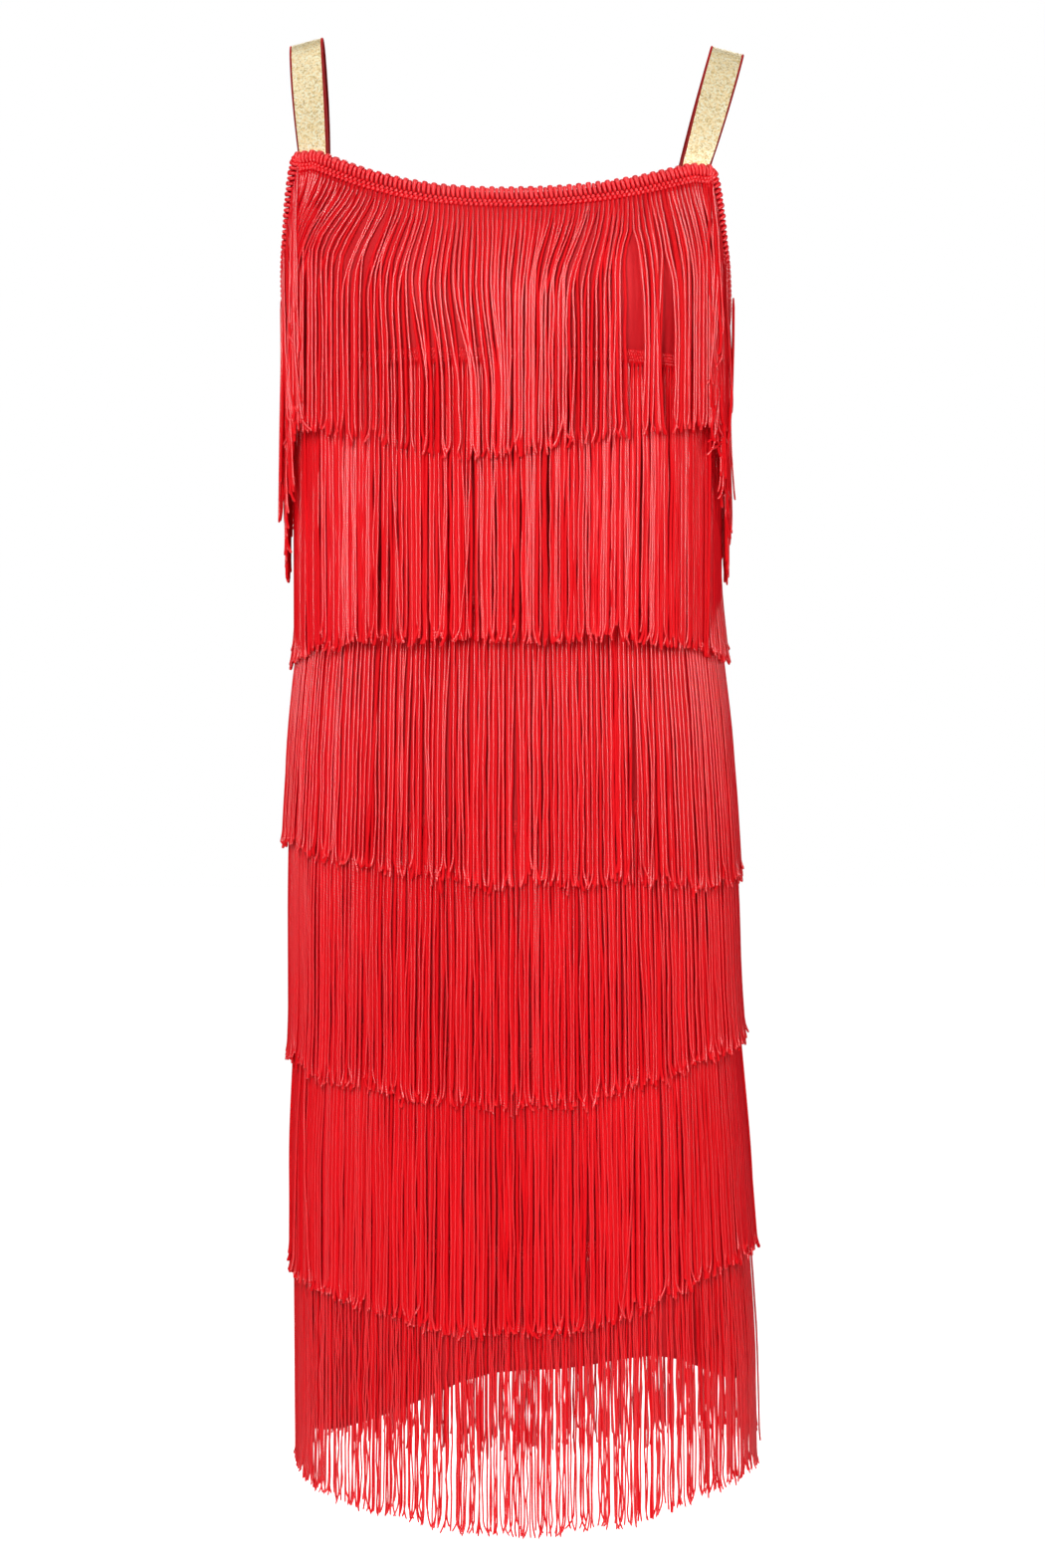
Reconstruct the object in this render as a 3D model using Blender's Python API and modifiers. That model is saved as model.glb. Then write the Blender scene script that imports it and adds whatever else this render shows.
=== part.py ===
"""Sleeveless flapper dress, held open as if it were worn, with six tiers of fringe.

Metres, +Z up, the front faces -Y and the wearer's left is +X. The origin is midway
between the two shoulders, on the surface that the straps lie on. The dress is cut as a
front and a back panel of stretch cloth joined at the side seams, two elastic straps,
and six fringe trims, each cut in a front and a back length. A trim is a heading tape
with locks of fringe that hang from it.
"""

import math
import random
from collections import namedtuple

import bpy
from mathutils import Vector

FRONT, BACK = "front", "back"
OUTWARD_Y = {FRONT: -1.0, BACK: 1.0}

# Cloth and seams
WALL = 0.0012
SEAM_GAP = 0.0005
LAY_GAP = 0.0004

# Neckline and armholes. A corner is where the neckline meets an armhole, and its place
# is a share of the half width: 0 at the centre of the front or back, -1 and 1 at the
# side seams. From neck_end to the corner the edge is level, under a strap. The dress
# hangs a little lower from the wearer's left shoulder.
Edge = namedtuple("Edge", "corner neck_end corner_z_right corner_z_left neck_centre_z")
EDGES = {
    FRONT: Edge(0.893, 0.78, -0.078, -0.0864, -0.1049),
    BACK: Edge(0.930, 0.80, -0.094, -0.1020, -0.1200),
}
UNDERARM_Z = -0.180
NECK_POWER = 2.3
ARMHOLE_POWER = 1.8

# Columns of each panel, and so of each trim: one lock of fringe hangs at each
ARMHOLE_COLUMNS = 3
NECK_COLUMNS = 14
COLUMNS = NECK_COLUMNS + 2 * ARMHOLE_COLUMNS

# Rows of each panel, above and below a level line just under the armholes
LEVEL_Z = -0.210
ROWS_ABOVE = 6
ROWS_BELOW = 14

# Fringe trim
HEADING_HEIGHT = 0.010
TRIM_THICKNESS = 0.0016
TRIM_OUT = 0.0005
OVER_NEXT_OUT = 0.0030
PARTING_SHARE = 0.14
TIP_PARTING_SHARE = 0.30
EDGE_COVER = 0.001
TIP_UNEVEN = 0.0035

# Elastic straps
STRAP_WIDTH = 0.022
STRAP_THICKNESS = 0.0015
STRAP_TUCK = 0.014
SHOULDER_SLOPE = math.radians(15)
STRAP_ROWS_TUCKED = 2
STRAP_ROWS_FREE = 10
STRAP_PULL = 0.095
STRAP_TURN = 1.6

# The bust's own fullness over the section table
BUST_FULLNESS = 0.007
BUST_APART_SHARE = 0.46
BUST_SPREAD_SHARE = 0.30
BUST_Z = -0.179
BUST_SPREAD_Z = 0.048

# Sections of the cloth's outer face, from the top down. Squareness is the exponent of
# the superellipse that the section follows.
Section = namedtuple("Section", "name z centre_x half_width front_depth back_depth squareness")
SECTIONS = (
    Section("collar", -0.074, -0.0035, 0.1494, 0.082, 0.090, 3.2),
    Section("chest", -0.124, -0.0030, 0.1465, 0.096, 0.097, 2.8),
    Section("bust", -0.184, -0.0020, 0.1415, 0.105, 0.094, 2.4),
    Section("ribs", -0.256, -0.0010, 0.1335, 0.099, 0.087, 2.3),
    Section("waist", -0.334, 0.0005, 0.1310, 0.092, 0.083, 2.25),
    Section("belly", -0.424, -0.0002, 0.1385, 0.096, 0.096, 2.25),
    Section("hip", -0.514, 0.0010, 0.1425, 0.098, 0.107, 2.3),
    Section("thigh", -0.614, 0.0036, 0.1420, 0.099, 0.101, 2.3),
    Section("skirt", -0.724, 0.0062, 0.1457, 0.099, 0.098, 2.3),
    Section("hem", -0.894, 0.0112, 0.1465, 0.099, 0.098, 2.3),
)
BUST = next(s for s in SECTIONS if s.name == "bust")

# The cloth's hem, which hangs lower at the wearer's right. Share is of the half width.
HemPoint = namedtuple("HemPoint", "share z")
HEM = (
    HemPoint(-1.0, -0.892),
    HemPoint(-0.6, -0.872),
    HemPoint(-0.2, -0.845),
    HemPoint(0.2, -0.840),
    HemPoint(0.6, -0.835),
    HemPoint(1.0, -0.860),
)

# The fringe trims. The first follows the neckline and armholes. The others lie level
# at the centre and rise (or fall) by the given heights towards the two side seams, the
# later the higher rise_power is.
Trim = namedtuple("Trim", "name top_z length rise_right rise_left rise_power tip_out lock_rows")
TRIMS = (
    Trim("fringe_1", None, 0.168, 0.0, 0.0, 2, 0.0035, 6),
    Trim("fringe_2", -0.201, 0.182, -0.014, -0.012, 6, 0.005, 4),
    Trim("fringe_3", -0.354, 0.182, 0.024, -0.001, 2, 0.006, 4),
    Trim("fringe_4", -0.495, 0.182, 0.025, 0.038, 2, 0.005, 4),
    Trim("fringe_5", -0.637, 0.182, 0.028, 0.043, 2, 0.005, 4),
    Trim("fringe_6", -0.762, 0.182, 0.026, 0.028, 2, 0.005, 4),
)

# The straps: where each crosses the shoulder and the panels' top edges
Strap = namedtuple("Strap", "name top_x top_z front_x back_x")
STRAPS = (
    Strap("strap_right", -0.1310, 0.0026, -0.1232, -0.1285),
    Strap("strap_left", 0.1405, -0.0026, 0.1163, 0.1131),
)

Paint = namedtuple("Paint", "name color roughness metallic")
CLOTH_PAINT = Paint("red_stretch_cloth", (0.62, 0.02, 0.03, 1.0), 0.75, 0.0)
FRINGE_PAINT = Paint("red_fringe", (0.70, 0.025, 0.035, 1.0), 0.55, 0.0)
STRAP_PAINT = Paint("gold_elastic", (0.72, 0.58, 0.30, 1.0), 0.38, 0.7)


def smooth_value(places, values, at):
    """A smooth curve through the values at rising places, level beyond its ends."""
    if at <= places[0]:
        return values[0]
    if at >= places[-1]:
        return values[-1]
    i = max(k for k in range(len(places) - 1) if places[k] <= at)
    step = places[i + 1] - places[i]

    def slope(k):
        if k in (0, len(places) - 1):
            return 0.0
        return (values[k + 1] - values[k - 1]) / (places[k + 1] - places[k - 1])

    t = (at - places[i]) / step
    return (
        (2 * t**3 - 3 * t**2 + 1) * values[i]
        + (t**3 - 2 * t**2 + t) * step * slope(i)
        + (3 * t**2 - 2 * t**3) * values[i + 1]
        + (t**3 - t**2) * step * slope(i + 1)
    )


RISING = SECTIONS[::-1]
LEVELS = [s.z for s in RISING]


def section_value(field, z):
    return smooth_value(LEVELS, [getattr(s, field) for s in RISING], z)


def superellipse_depth(share, squareness):
    """How deep the section is at this share of its half width, as a share of its depth."""
    return max(0.0, 1.0 - abs(share) ** squareness) ** (1.0 / squareness)


def column_shares(side):
    """The columns' places as shares of the half width, evenly spaced round the bust."""
    steps = 2000
    shares = [math.sin(math.pi / 2 * k / steps) for k in range(steps + 1)]
    points = [
        (BUST.half_width * s, BUST.front_depth * superellipse_depth(s, BUST.squareness))
        for s in shares
    ]
    along = [0.0]
    for a, b in zip(points, points[1:]):
        along.append(along[-1] + math.dist(a, b))

    def share_at(distance):
        k = next(k for k in range(steps) if along[k + 1] >= distance)
        t = (distance - along[k]) / (along[k + 1] - along[k])
        return shares[k] + t * (shares[k + 1] - shares[k])

    corner = next(along[k] for k in range(steps) if shares[k] >= EDGES[side].corner)
    neck_half = NECK_COLUMNS // 2
    distances = [corner * k / neck_half for k in range(neck_half)]
    distances += [
        corner + (along[-1] - corner) * k / ARMHOLE_COLUMNS for k in range(ARMHOLE_COLUMNS + 1)
    ]
    half = [share_at(d) for d in distances]
    return [-s for s in half[:0:-1]] + half


SHARES = {side: column_shares(side) for side in (FRONT, BACK)}


def bust_fullness(share, z):
    across = (abs(share) - BUST_APART_SHARE) / BUST_SPREAD_SHARE
    up = (z - BUST_Z) / BUST_SPREAD_Z
    return BUST_FULLNESS * math.exp(-across * across - up * up)


Reach = namedtuple("Reach", "z sideways outward")


def reach(side, share, z):
    """How far the cloth's outer face reaches sideways and forward (or back) there."""
    sideways = section_value("half_width", z) * share
    depth = section_value(side + "_depth", z)
    outward = depth * superellipse_depth(share, section_value("squareness", z))
    if side == FRONT:
        outward += bust_fullness(share, z) * math.sqrt(1 - share * share)
    return Reach(z, sideways, outward)


def corner_z(side, x):
    """The height of the corner on this side of the dress."""
    return EDGES[side].corner_z_right if x < 0 else EDGES[side].corner_z_left


def edge_z(side, share):
    """The height of the neckline and armhole edge."""
    edge, corner = EDGES[side], corner_z(side, share)
    if abs(share) <= edge.corner:
        rise = min(1.0, abs(share) / edge.neck_end) ** NECK_POWER
        return edge.neck_centre_z + (corner - edge.neck_centre_z) * rise
    # Across an armhole the edge is measured by depth, which changes most there.
    depth = superellipse_depth(share, BUST.squareness)
    depth_share = depth / superellipse_depth(edge.corner, BUST.squareness)
    return UNDERARM_Z + (corner - UNDERARM_Z) * depth_share**ARMHOLE_POWER


def hem_z(share):
    return smooth_value([p.share for p in HEM], [p.z for p in HEM], share)


def column_line(side, share):
    """The panel's points down one column, from the top edge to the hem."""
    top = edge_z(side, share)
    heights = [top + (LEVEL_Z - top) * row / ROWS_ABOVE for row in range(ROWS_ABOVE)]
    fall = hem_z(share) - LEVEL_Z
    heights += [LEVEL_Z + fall * row / ROWS_BELOW for row in range(ROWS_BELOW + 1)]
    return [reach(side, share, z) for z in heights]


LINES = {side: [column_line(side, share) for share in SHARES[side]] for side in (FRONT, BACK)}


def facing(side, share, z):
    """The way the section faces there, as its parts sideways and forward (or back)."""
    squareness = section_value("squareness", z)
    depth_share = superellipse_depth(share, squareness)
    sideways = abs(share) ** (squareness - 1) / section_value("half_width", z)
    outward = depth_share ** (squareness - 1) / section_value(side + "_depth", z)
    size = math.hypot(sideways, outward)
    return math.copysign(sideways, share) / size, outward / size


def placed(side, share, at, out):
    """A point of a layer that lies out beyond the given reach."""
    facing_sideways, facing_outward = facing(side, share, at.z)
    x = section_value("centre_x", at.z) + at.sideways + out * facing_sideways
    y = OUTWARD_Y[side] * (SEAM_GAP / 2 + at.outward + out * facing_outward)
    return Vector((x, y, at.z))


def reach_on_line(side, k, z):
    """The panel's reach at this height of column line k, on the flat between its rows."""
    line = LINES[side][k]
    row = next((n for n in range(1, len(line) - 1) if line[n].z <= z), len(line) - 1)
    above, below = line[row - 1], line[row]
    t = min(1.0, (above.z - z) / (above.z - below.z))
    sideways = above.sideways + t * (below.sideways - above.sideways)
    return Reach(z, sideways, above.outward + t * (below.outward - above.outward))


def between_lines(point_at, column):
    """The point on the flat between two column lines."""
    low = min(int(column), COLUMNS - 1)
    return point_at(low).lerp(point_at(low + 1), column - low)


def share_of(side, column):
    shares = SHARES[side]
    low = min(int(column), COLUMNS - 1)
    return shares[low] + (column - low) * (shares[low + 1] - shares[low])


def cloth_point(side, column, z, out):
    """A point on the cloth, moved out, or in where out is negative."""
    return between_lines(
        lambda k: placed(side, SHARES[side][k], reach_on_line(side, k, z), out), column
    )


def hung_point(side, column, z_from, z, out):
    """A point of something that hangs from z_from: it lies on the cloth where the cloth
    widens below, and falls straight down where the cloth draws in."""

    def point_at(k):
        passed = [at for at in LINES[side][k] if z < at.z < z_from]
        passed += [reach_on_line(side, k, z_from), reach_on_line(side, k, z)]
        share = SHARES[side][k]
        sideways = math.copysign(max(abs(at.sideways) for at in passed), share)
        outward = max(at.outward for at in passed)
        return placed(side, share, Reach(z, sideways, outward), out)

    return between_lines(point_at, column)


def sheet_object(name, points, faces, thickness, grow, paint):
    """An open sheet made solid. grow is -1 to thicken inward and 1 to thicken outward."""
    mesh = bpy.data.meshes.new(name)
    mesh.from_pydata(points, [], faces)
    mesh.validate()
    obj = bpy.data.objects.new(name, mesh)
    PARTS.objects.link(obj)
    obj.data.materials.append(material(paint))
    mesh.shade_smooth()
    solidify = obj.modifiers.new("Cloth thickness", "SOLIDIFY")
    solidify.thickness = thickness
    solidify.offset = grow
    solidify.use_even_offset = True
    return obj


def material(paint):
    made = bpy.data.materials.get(paint.name)
    if made is None:
        made = bpy.data.materials.new(paint.name)
        made.use_nodes = True
        shader = made.node_tree.nodes["Principled BSDF"]
        shader.inputs["Base Color"].default_value = paint.color
        shader.inputs["Roughness"].default_value = paint.roughness
        shader.inputs["Metallic"].default_value = paint.metallic
    return made


def outward_quad(side, a, b, c, d):
    """The quad a b over c d, wound so that it faces away from the wearer."""
    return (a, c, d, b) if side == FRONT else (a, b, d, c)


def make_panel(side):
    rows = ROWS_ABOVE + ROWS_BELOW
    points = [
        placed(side, share, line[row], 0.0)
        for row in range(rows + 1)
        for share, line in zip(SHARES[side], LINES[side])
    ]
    width = COLUMNS + 1
    faces = []
    for row in range(rows):
        for column in range(COLUMNS):
            at = row * width + column
            faces.append(outward_quad(side, at, at + 1, at + width, at + width + 1))
    return sheet_object(side + "_panel", points, faces, WALL, -1, CLOTH_PAINT)


def heading_z(trim, side, share):
    """The height of a trim's top edge."""
    if trim.top_z is None:
        return edge_z(side, share) + EDGE_COVER
    rise = trim.rise_right if share < 0 else trim.rise_left
    return trim.top_z + rise * abs(share) ** trim.rise_power


def trim_out(trim, side, share, z, tip_z):
    """How far the trim's inner face lies from the cloth at this height. It spreads,
    fast at first, to pass over the next trim's heading, and a little more to its tips."""
    start = heading_z(trim, side, share) - HEADING_HEIGHT
    number = TRIMS.index(trim)
    over = tip_z
    if number + 1 < len(TRIMS):
        over = heading_z(TRIMS[number + 1], side, share)
    if z >= start:
        return TRIM_OUT
    if z >= over:
        return TRIM_OUT + (OVER_NEXT_OUT - TRIM_OUT) * math.sqrt((start - z) / (start - over))
    return OVER_NEXT_OUT + (trim.tip_out - OVER_NEXT_OUT) * (over - z) / (over - tip_z)


def make_trim(trim, side):
    """A heading tape with one lock of fringe at each column, hung like a comb."""
    uneven = random.Random(f"{trim.name} {side}")
    edges, tips = [0.0], [0.0]
    for column in range(COLUMNS):
        shorter = uneven.uniform(0, TIP_UNEVEN)
        edges += [column + PARTING_SHARE / 2, column + 1 - PARTING_SHARE / 2]
        tips += [shorter, shorter + uneven.uniform(0, TIP_UNEVEN)]
    edges.append(float(COLUMNS))
    tips.append(0.0)

    points = []
    width = len(edges)
    for row in range(2 + trim.lock_rows):
        down = max(0, row - 1) / trim.lock_rows
        for k, edge in enumerate(edges):
            share = share_of(side, edge)
            top = heading_z(trim, side, share)
            tape_z = top - HEADING_HEIGHT
            tip_z = top - trim.length + tips[k]
            z = top if row == 0 else tape_z + (tip_z - tape_z) * down
            middle = int(edge) + 0.5
            taper = 1 - down * (TIP_PARTING_SHARE - PARTING_SHARE) / (1 - PARTING_SHARE)
            column = middle + (edge - middle) * taper
            out = trim_out(trim, side, share, z, tip_z)
            points.append(hung_point(side, column, top, z, out))

    faces = [outward_quad(side, k, k + 1, k + width, k + width + 1) for k in range(width - 1)]
    for row in range(1, 1 + trim.lock_rows):
        for k in range(1, width - 1, 2):
            at = row * width + k
            faces.append(outward_quad(side, at, at + 1, at + width, at + width + 1))
    used = sorted({i for face in faces for i in face})
    number = {old: new for new, old in enumerate(used)}
    faces = [tuple(number[i] for i in face) for face in faces]
    points = [points[i] for i in used]
    return sheet_object(f"{trim.name}_{side}", points, faces, TRIM_THICKNESS, 1, FRINGE_PAINT)


def column_at(side, x, z, out):
    """The column of the panel whose point has this x."""
    low, high = 0.0, float(COLUMNS)
    for _ in range(40):
        middle = (low + high) / 2
        if cloth_point(side, middle, z, out).x < x:
            low = middle
        else:
            high = middle
    return (low + high) / 2


def strap_foot(side, x, z):
    """The strap's two edges at this height, on its face next to the wearer, where it is
    sewn inside the panel."""
    out = -(WALL + LAY_GAP + STRAP_THICKNESS)
    column = column_at(side, x, z, out)
    across = cloth_point(side, column + 0.5, z, out) - cloth_point(side, column - 0.5, z, out)
    half = STRAP_WIDTH / 2 * abs(across.normalized().x)
    left = cloth_point(side, column_at(side, x - half, z, out), z, out)
    right = cloth_point(side, column_at(side, x + half, z, out), z, out)
    middle = (left + right) / 2
    reach_across = (right - left).normalized() * STRAP_WIDTH / 2
    return middle - reach_across, middle + reach_across


def strap_rise(side, x, shoulder):
    """The strap's centre and its direction where it leaves the panel's top edge, leaning
    towards the shoulder."""
    z = corner_z(side, x)
    upper = sum(strap_foot(side, x, z), Vector()) / 2
    lower = sum(strap_foot(side, x, z - STRAP_TUCK), Vector()) / 2
    lean = Vector(((shoulder.x - upper.x) / (shoulder.z - upper.z), 0, 0))
    return upper, (upper - lower).normalized() + lean


def arc_point(start, start_pull, end, end_pull, t):
    """A point on the smooth curve from start to end that leaves and arrives as pulled."""
    return (
        (2 * t**3 - 3 * t**2 + 1) * start
        + (t**3 - 2 * t**2 + t) * start_pull
        + (3 * t**2 - 2 * t**3) * end
        + (t**3 - t**2) * end_pull
    )


def make_strap(strap):
    """One elastic, from inside the front's corner over the shoulder to the back's."""
    shoulder = Vector((strap.top_x, 0, strap.top_z))
    outer = math.copysign(1, strap.top_x)
    over = Vector((math.cos(SHOULDER_SLOPE), 0, -outer * math.sin(SHOULDER_SLOPE)))
    rows = []
    for side, x in ((FRONT, strap.front_x), (BACK, strap.back_x)):
        half = []
        for k in range(STRAP_ROWS_TUCKED):
            z = corner_z(side, x) - STRAP_TUCK * (1 - k / STRAP_ROWS_TUCKED)
            half.append(strap_foot(side, x, z))
        foot, up = strap_rise(side, x, shoulder)
        left, right = strap_foot(side, x, corner_z(side, x))
        along = (right - left).normalized()
        to_shoulder = Vector((0, -OUTWARD_Y[side], 0))
        for k in range(STRAP_ROWS_FREE + 1):
            t = k / STRAP_ROWS_FREE
            centre = arc_point(foot, up * STRAP_PULL, shoulder, to_shoulder * STRAP_PULL, t)
            turned = along.lerp(over, min(1.0, t * STRAP_TURN)).normalized()
            reach_across = turned * STRAP_WIDTH / 2
            half.append((centre - reach_across, centre + reach_across))
        rows += half if side == FRONT else half[-2::-1]
    points = [point for row in rows for point in row]
    faces = [(2 * k, 2 * k + 1, 2 * k + 3, 2 * k + 2) for k in range(len(rows) - 1)]
    return sheet_object(strap.name, points, faces, STRAP_THICKNESS, 1, STRAP_PAINT)


for old in list(bpy.data.objects):
    bpy.data.objects.remove(old)
PARTS = bpy.data.collections.new("flapper_dress")
bpy.context.scene.collection.children.link(PARTS)

for panel_side in (FRONT, BACK):
    make_panel(panel_side)
    for each_trim in TRIMS:
        make_trim(each_trim, panel_side)
for each_strap in STRAPS:
    make_strap(each_strap)
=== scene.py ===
import math
from collections import namedtuple

import bpy
import numpy as np
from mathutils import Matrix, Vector
from mathutils.bvhtree import BVHTree


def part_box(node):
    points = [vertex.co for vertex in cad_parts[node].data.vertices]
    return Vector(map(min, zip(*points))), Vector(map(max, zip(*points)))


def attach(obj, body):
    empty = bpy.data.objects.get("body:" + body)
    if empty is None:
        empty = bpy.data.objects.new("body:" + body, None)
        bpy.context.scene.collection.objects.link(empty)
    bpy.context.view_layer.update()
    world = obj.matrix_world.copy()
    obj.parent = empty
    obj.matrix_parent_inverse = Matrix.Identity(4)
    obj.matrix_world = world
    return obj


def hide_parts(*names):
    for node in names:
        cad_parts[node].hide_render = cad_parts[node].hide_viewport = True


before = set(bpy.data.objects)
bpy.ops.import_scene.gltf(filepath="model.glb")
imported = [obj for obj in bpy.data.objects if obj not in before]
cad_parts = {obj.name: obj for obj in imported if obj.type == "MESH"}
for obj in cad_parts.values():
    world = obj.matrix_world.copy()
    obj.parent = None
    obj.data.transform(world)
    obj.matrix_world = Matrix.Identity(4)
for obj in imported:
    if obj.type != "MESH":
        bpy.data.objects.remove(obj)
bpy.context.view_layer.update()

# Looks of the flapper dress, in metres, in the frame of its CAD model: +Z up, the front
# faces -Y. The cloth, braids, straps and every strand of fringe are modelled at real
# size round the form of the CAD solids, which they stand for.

FRONT, BACK = "front", "back"
FULL_TURN = 2 * math.pi

# The upright axis that angles are taken about: -180 degrees is the wearer's right side
# seam, -90 the middle of the front, 0 the left side seam and 90 the middle of the back.
AXIS_X = 0.003
ANGLE_COUNT = 360
ANGLES = (np.arange(ANGLE_COUNT) + 0.5) / ANGLE_COUNT * FULL_TURN - math.pi
HALF_TURN = {FRONT: (-math.pi, 0.0), BACK: (0.0, math.pi)}
LEVEL_STEP = 0.004
LEVELS = -np.arange(0.0, 0.968, LEVEL_STEP)
RAY_START = 0.5
HALVINGS = 12
ANGLE_BLUR = 3.0
LEVEL_BLUR = 3.0
MOVES_TO_SETTLE = 3

# Cloth. Metres per radian is about the hips' radius, and turns angles into lengths.
CLOTH_WALL = 0.0010
CLOTH_COLUMNS = 120
CLOTH_ROWS = 96
CLOTH_EDGE_POINTS = 721
METRES_PER_RADIAN = 0.13
BACK_WALES_ASIDE = 0.0004

# Braided headings
BRAID_STEP = 0.001
BRAID_BLUR = 4.0
HEADING_POINTS = 1441
RIB_PITCH = 0.0030
ARMHOLE_RIB_SHARE = 0.12
STITCH_PITCH = 0.0017
STITCHED_TIERS = (2, 6)
TAPE_THICKNESS = 0.0006
TAPE_OUT = 0.0004
TAPE_STEP = 0.003
TAPE_COLUMNS = 5
BOUND_TAPE = (0.0010, 0.0094)
PLAIN_TAPE = (0.0004, 0.0096)
STRAND_ROOT_DOWN = 0.0078
STRAND_ROOT_OUT = 0.0009

# The cords that bind the neckline and the armholes. Every other one is raised and wider.
RIB_SIDES = 8
RIB_HALF_WIDTH = RIB_PITCH * 0.42
RIB_HALF_HEIGHT = 0.0013
RIB_WIDER = 0.06
RAISED_WIDER = 0.42
# They all stand a little higher about this place in the middle of the front
HIGHER_BY = 0.0004
HIGHER_X = 0.014
HIGHER_SPREAD = 0.065

# A cord's rings, from its foot on the face over the edge to its end inside: how far
# below the edge and out from the face each lies, how much a raised cord lifts it, how
# far it leans along the edge, its shares in the middle's height, in the cord's width and
# height and in the widening, and how much painted shade lowers its tone over the edge
Ring = namedtuple("Ring", "inward out raise_by lean higher width height wider darker")
RINGS = (
    Ring(0.0060, 0.0009, 0.0, 0.0007, 0.0, 0.50, 0.50, 0.0, 0.0),
    Ring(0.0044, 0.0019, 0.0, 0.0004, 0.0, 0.84, 0.95, 0.1, 0.0),
    Ring(0.0022, 0.0023, 0.0, 0.0, 0.3, 0.86, 1.00, 0.4, 0.0),
    Ring(0.0006, 0.0020, 0.0006, -0.0002, 0.8, 0.92, 1.00, 0.8, 0.4),
    Ring(-0.0002, 0.0010, 0.0011, -0.0002, 1.0, 0.95, 0.95, 1.0, 1.3),
    Ring(-0.0003, -0.0008, 0.0012, 0.0, 1.0, 0.90, 0.80, 1.0, 1.6),
    Ring(0.0003, -0.0022, 0.0008, 0.0, 1.0, 0.90, 0.70, 1.0, 1.6),
    Ring(0.0016, -0.0024, 0.0, 0.0, 0.5, 0.60, 0.50, 0.6, 1.6),
)

# Short beads of yarn in rows along a heading: how far below its edge and how far out
# each row lies, how much a bead's ends are sunk, and, in pitches, where a row's first
# bead lies and how much later in every other row
Beads = namedtuple(
    "Beads",
    "rows_in out sunk pitch first later half_length slant half_width half_height sides tones",
)
BRAID_BEADS = Beads(
    rows_in=(0.0068, 0.0089),
    out=0.0014,
    sunk=0.0003,
    pitch=RIB_PITCH,
    first=0.62,
    later=0.3,
    half_length=0.0011,
    slant=0.0006,
    half_width=RIB_PITCH * 0.40,
    half_height=0.0014,
    sides=6,
    tones=(0.3, 1.0),
)
STITCHES = Beads(
    rows_in=(0.0016, 0.0034, 0.0052, 0.0070),
    out=0.0010,
    sunk=0.0,
    pitch=STITCH_PITCH,
    first=0.5,
    later=0.5,
    half_length=0.0008,
    slant=0.0,
    half_width=STITCH_PITCH * 0.45,
    half_height=0.00075,
    sides=4,
    tones=(0.2, 0.9),
)
BEAD_WIDTHS = np.array([0.45, 1.0, 1.0, 0.45])
BEAD_HEIGHTS = np.array([0.4, 1.0, 1.0, 0.4])

# Straps
STRAP_WIDTH = 0.022
STRAP_THICKNESS = 0.0015
SELVEDGE_WIDTH = 0.0013
FACE_THICKNESS = STRAP_THICKNESS * 0.8
FACE_EDGE = 0.0003
SELVEDGE_HALF_WIDTH = SELVEDGE_WIDTH * 0.62
SELVEDGE_HALF_HEIGHT = STRAP_THICKNESS * 0.52
SELVEDGE_SUNK = STRAP_THICKNESS * 0.45
STRAP_STEP = 0.001
STRAP_BLUR = 4.0
STRAP_COLUMNS = 10
STRAP_PIVOT_Z = -0.15
STRAP_LINE_APART = 0.03
STRAP_WIDTH_ROOM = 0.012
SELVEDGE_SIDES = 8

# Fringe yarn
TIER_COUNT = 6
YARN_SIDES = 5
RINGS_BETWEEN = {FRONT: 14, BACK: 9}
STRAND_RISES_FROM = 0.0010
LOOSE_OUT_SHARE = 0.25
LAYERS_APART = 0.0011
LOWER_LAYERS_APART = LAYERS_APART * 0.5
LOWER_TIERS = (5, 6)
LAST_FREE_DROP = 0.13

# Strands whose layer is below this are the inner ones, thicker and dull, in a deeper red that
# is painted shade, by tier
INNER_BELOW = {2: 0.22, TIER_COUNT: 0.10}
INNER_BELOW_ELSEWHERE = 0.45
INNER_THICKER = 1.3
LAYER_THINNER = 0.42

# The tips: how they rise and fall along a tier, how many end short and by how much, how
# much the last tier's differ, and how unevenly the strands down the armholes end
TIPS_WAVE = 0.0016
TIPS_WINDOW = 41
SHORT_SHARE = 0.04
SHORT_BY = 0.006
LAST_BACK_SHORTER = 0.020
LAST_FRONT_LONGER = 0.0022
SIDE_UNEVEN = 0.070

# How strands leave the straight line down. A stitch's strands start part of the way to
# its middle, and hang in bundles. Some are loose, and those down the armholes freer.
STITCH_STRANDS = 2
STITCH_SHARED = 0.55
FLAT_HEADING = 0.8
SIDE_SPREAD = 0.3
SIDE_FREER = 3.0
BUNDLE_STARTS = 0.38
BUNDLE_DRIFT = 0.0005
OWN_DRIFT = 0.0004
LOOSE_SHARE = 0.03
LOOSE_BY = 0.005
SIDE_LOOSE_BY = 0.0055
HOOK_LENGTH = 0.010
HOOK_SIDEWAYS = 0.0019
HOOK_OUT = 0.0008
LAST_BACK_HOOKED = 0.4

# Each tier's strands: how far apart they are sewn, how thick they are, how unevenly they
# end, how far out they lie over the next heading and at their tips, and how they clump
Tier = namedtuple("Tier", "number spacing radius uneven over_next tip_out clump")
TIERS = (
    Tier(1, 0.00148, 0.00078, 0.0020, 0.0042, 0.0052, 0.10),
    Tier(2, 0.00150, 0.00084, 0.0018, 0.0042, 0.0055, 0.05),
    Tier(3, 0.00150, 0.00084, 0.0020, 0.0042, 0.0060, 0.05),
    Tier(4, 0.00150, 0.00086, 0.0020, 0.0042, 0.0058, 0.05),
    Tier(5, 0.00150, 0.00089, 0.0020, 0.0042, 0.0058, 0.05),
    Tier(6, 0.00140, 0.00062, 0.0014, 0.0036, 0.0046, 0.14),
)

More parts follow.
